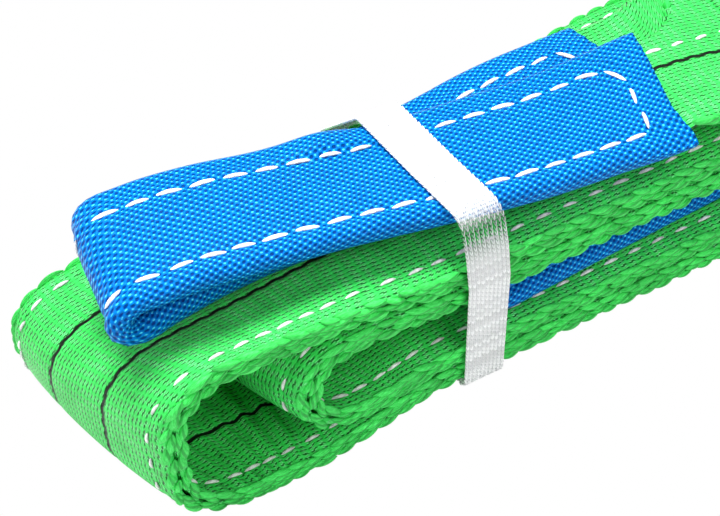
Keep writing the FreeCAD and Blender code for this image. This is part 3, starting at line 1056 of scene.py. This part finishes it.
def label():
    """Blank label with round corners and slightly curled edges, and its frame of stitches."""
    low, high = [np.array(c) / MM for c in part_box("identification_label")]
    centre = (low + high) / 2
    half_x, half_y = (high - low)[:2] / 2
    corner = 2.5
    u = np.linspace(-1, 1, 47)
    v = np.linspace(-1, 1, 29)
    past = np.clip(np.abs(u) * half_x - half_x + corner, 0, corner)
    reach = half_y - corner + np.sqrt(corner ** 2 - past ** 2 * 0.999)
    at_x = centre[0] + u[:, None] * half_x + 0 * v
    at_y = centre[1] + reach[:, None] * v
    curl = 0.5 * np.maximum(np.abs(u)[:, None] ** 12, np.abs(v) ** 12)
    ripple = 0.08 * np.sin(at_x / 3.1) * np.cos(at_y / 4.3)
    base = low[2] + 0.12 + curl + ripple
    top, bottom = [joined(at_x, at_y, base + h) for h in (0.45, 0)]
    piece = shell("label", bottom, top, joined(at_x, at_y), LABEL_CLOTH, "label")
    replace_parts(piece, "identification_label")
    margin = 3
    left = centre[0] - half_x + margin
    right = centre[0] + half_x - margin
    seam_y = half_y - margin
    line = closed(rounded_loop([(left, -seam_y, 2.0), (right, -seam_y, 2.0),
                                (right, seam_y, 2.0), (left, seam_y, 2.0)]))
    run = run_of(line)
    at = np.arange(0, run[-1] - 1, 3.6)
    place, ahead = [pick(line, np.mod(at + d, run[-1]), run) for d in (0, 0.8)]
    spot = np.concatenate([place, np.full((len(at), 1), low[2] + 0.62)], axis=1)
    along = np.concatenate([unit(ahead - place), np.zeros((len(at), 1))], axis=1)
    group = stitches(spot, along, Z_AXIS, long=2.6, wide=0.3, lift=0.12)
    thread_piece("label_seam", [group], "label_stitching")


# -------- the elastic band
BAND_WALES = 10
LOOSE_CORNER = (-29.0, 67.0)     # (y, z) of the bend where the knit is stretched open
# Where the band's middle lies along the bundle at places (y, z) round it.
BAND_GUIDES = [((-30.7, 12), -83.0), ((-30.7, 48), -83.4), ((-28, 72), -86.0),
               ((-12, 72.3), -88.2), ((8, 72), -90.6), ((30.5, 45), -89.0), ((30.5, 12), -87.0),
               ((0, 9.5), -85.0)]


def band_loop():
    """The band's inner line round the bundle: points, outward directions and distances."""
    corners = [(0, 9.5, 2), (30.5, 9.5, 1.0), (31.3, 47.4, 4), (9.2, 72.4, 3.5),
               (-29.5, 72.2, 4.5), (-30.7, 60.0, 12), (-30.7, 9.5, 1.0)]
    line = rounded_loop(corners, 0.8)
    run = run_of(closed(line))
    stations = sorted((run[np.argmin(np.hypot(*(line - place).T))], x) for place, x in BAND_GUIDES)
    at, x_there = np.array(stations).T
    x = np.interp(run[:-1], at, x_there, period=run[-1])
    ahead = unit(np.roll(line, -1, axis=0) - np.roll(line, 1, axis=0))
    return joined(x, *line.T), joined(0.0, ahead[:, 1], -ahead[:, 0]), run


def band():
    """Knitted elastic band: a thin ground with wales of interlocking loops on it."""
    points, out, run = band_loop()
    whole = run[-1]
    corner = run[np.argmin(np.hypot(*(points[:, 1:] - LOOSE_CORNER).T))]

    def looseness(distance):
        """How far the knit is stretched open there, from 0 to 1."""
        apart = np.abs(distance - corner)
        return np.exp(-(np.minimum(apart, whole - apart) / 6.5) ** 2)

    across = np.linspace(-BAND_WIDTH / 2, BAND_WIDTH / 2, 12)
    outside, inside = [points + out * height + X_AXIS * across[:, None, None]
                       for height in (0.75, 0.35)]
    strip = joined(run[:-1], across[:, None], looseness(run[:-1]))
    ground = shell("band_ground", outside, inside, strip, KNIT, "band", wrap=True, body="band")
    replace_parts(ground, "retaining_band")
    groups = []
    count = round(whole / KNIT_PITCH)
    spacing = (BAND_WIDTH - 0.5) / (BAND_WALES - 1)
    for wale in range(BAND_WALES):
        x = (wale - (BAND_WALES - 1) / 2) * spacing
        at = (np.arange(count) + 0.25 + 0.5 * (wale % 2)) * whole / count
        spot, ahead = [pick(closed(points), np.mod(at + d, whole), run) for d in (0, 0.4)]
        normal = unit(pick(closed(out), at, run))
        along = unit(ahead - spot)
        thin = 1 - 0.7 * looseness(at) - 0.3 * eased((spot[:, 2] - 64) / 6)
        for lean in (-1, 1):
            side = np.cross(normal, along)
            turned = unit(along + side * lean * 0.22)
            place = spot + normal * 0.7 + [x, 0, 0] + side * (-lean * 0.2)
            groups.append(beads(place, turned, unit(np.cross(normal, turned)), normal,
                                1.9, 0.23 * thin, 0.24, 0.08, 0.4, rings=5, sides=5))
    mesh_piece("band_loops", *merged(groups), BAND_YARN, "band", body="band")


# -------- build
camera()
studio()
body = Body()
outer = ply(body, "outer_ply", -1, "webbing_ply_outer")
inner = ply(body, "inner_ply", 1, "webbing_ply_inner")
for layer, sign in (("outer", -1), ("inner", 1)):
    for place, edge in (("front", -1), ("rear", 1)):
        selvedge(body, f"{layer}_ply_selvedge_{place}", sign, edge)
for place, edge in (("front", -1), ("rear", 1)):
    edge_seam(body, f"{place}_edge_seam", edge * (HALF_WIDTH - EDGE_SEAM), f"edge_seam_{place}")
eyes = [Eye(EYE_1), Eye(EYE_2)]
for make in (sleeve, sleeve_seam, eye_webbing):
    for eye in eyes:
        make(eye)
lap_tail()
splice_seam("splice_1_seam", 12.0, 86.0, SPLICE_1, "splice_1_stitching", lead=36.0,
            gap=(30, 80, 15))
splice_seam("splice_2_seam", 92.0, 139.0, SPLICE_2, "splice_2_stitching")
label()
band()
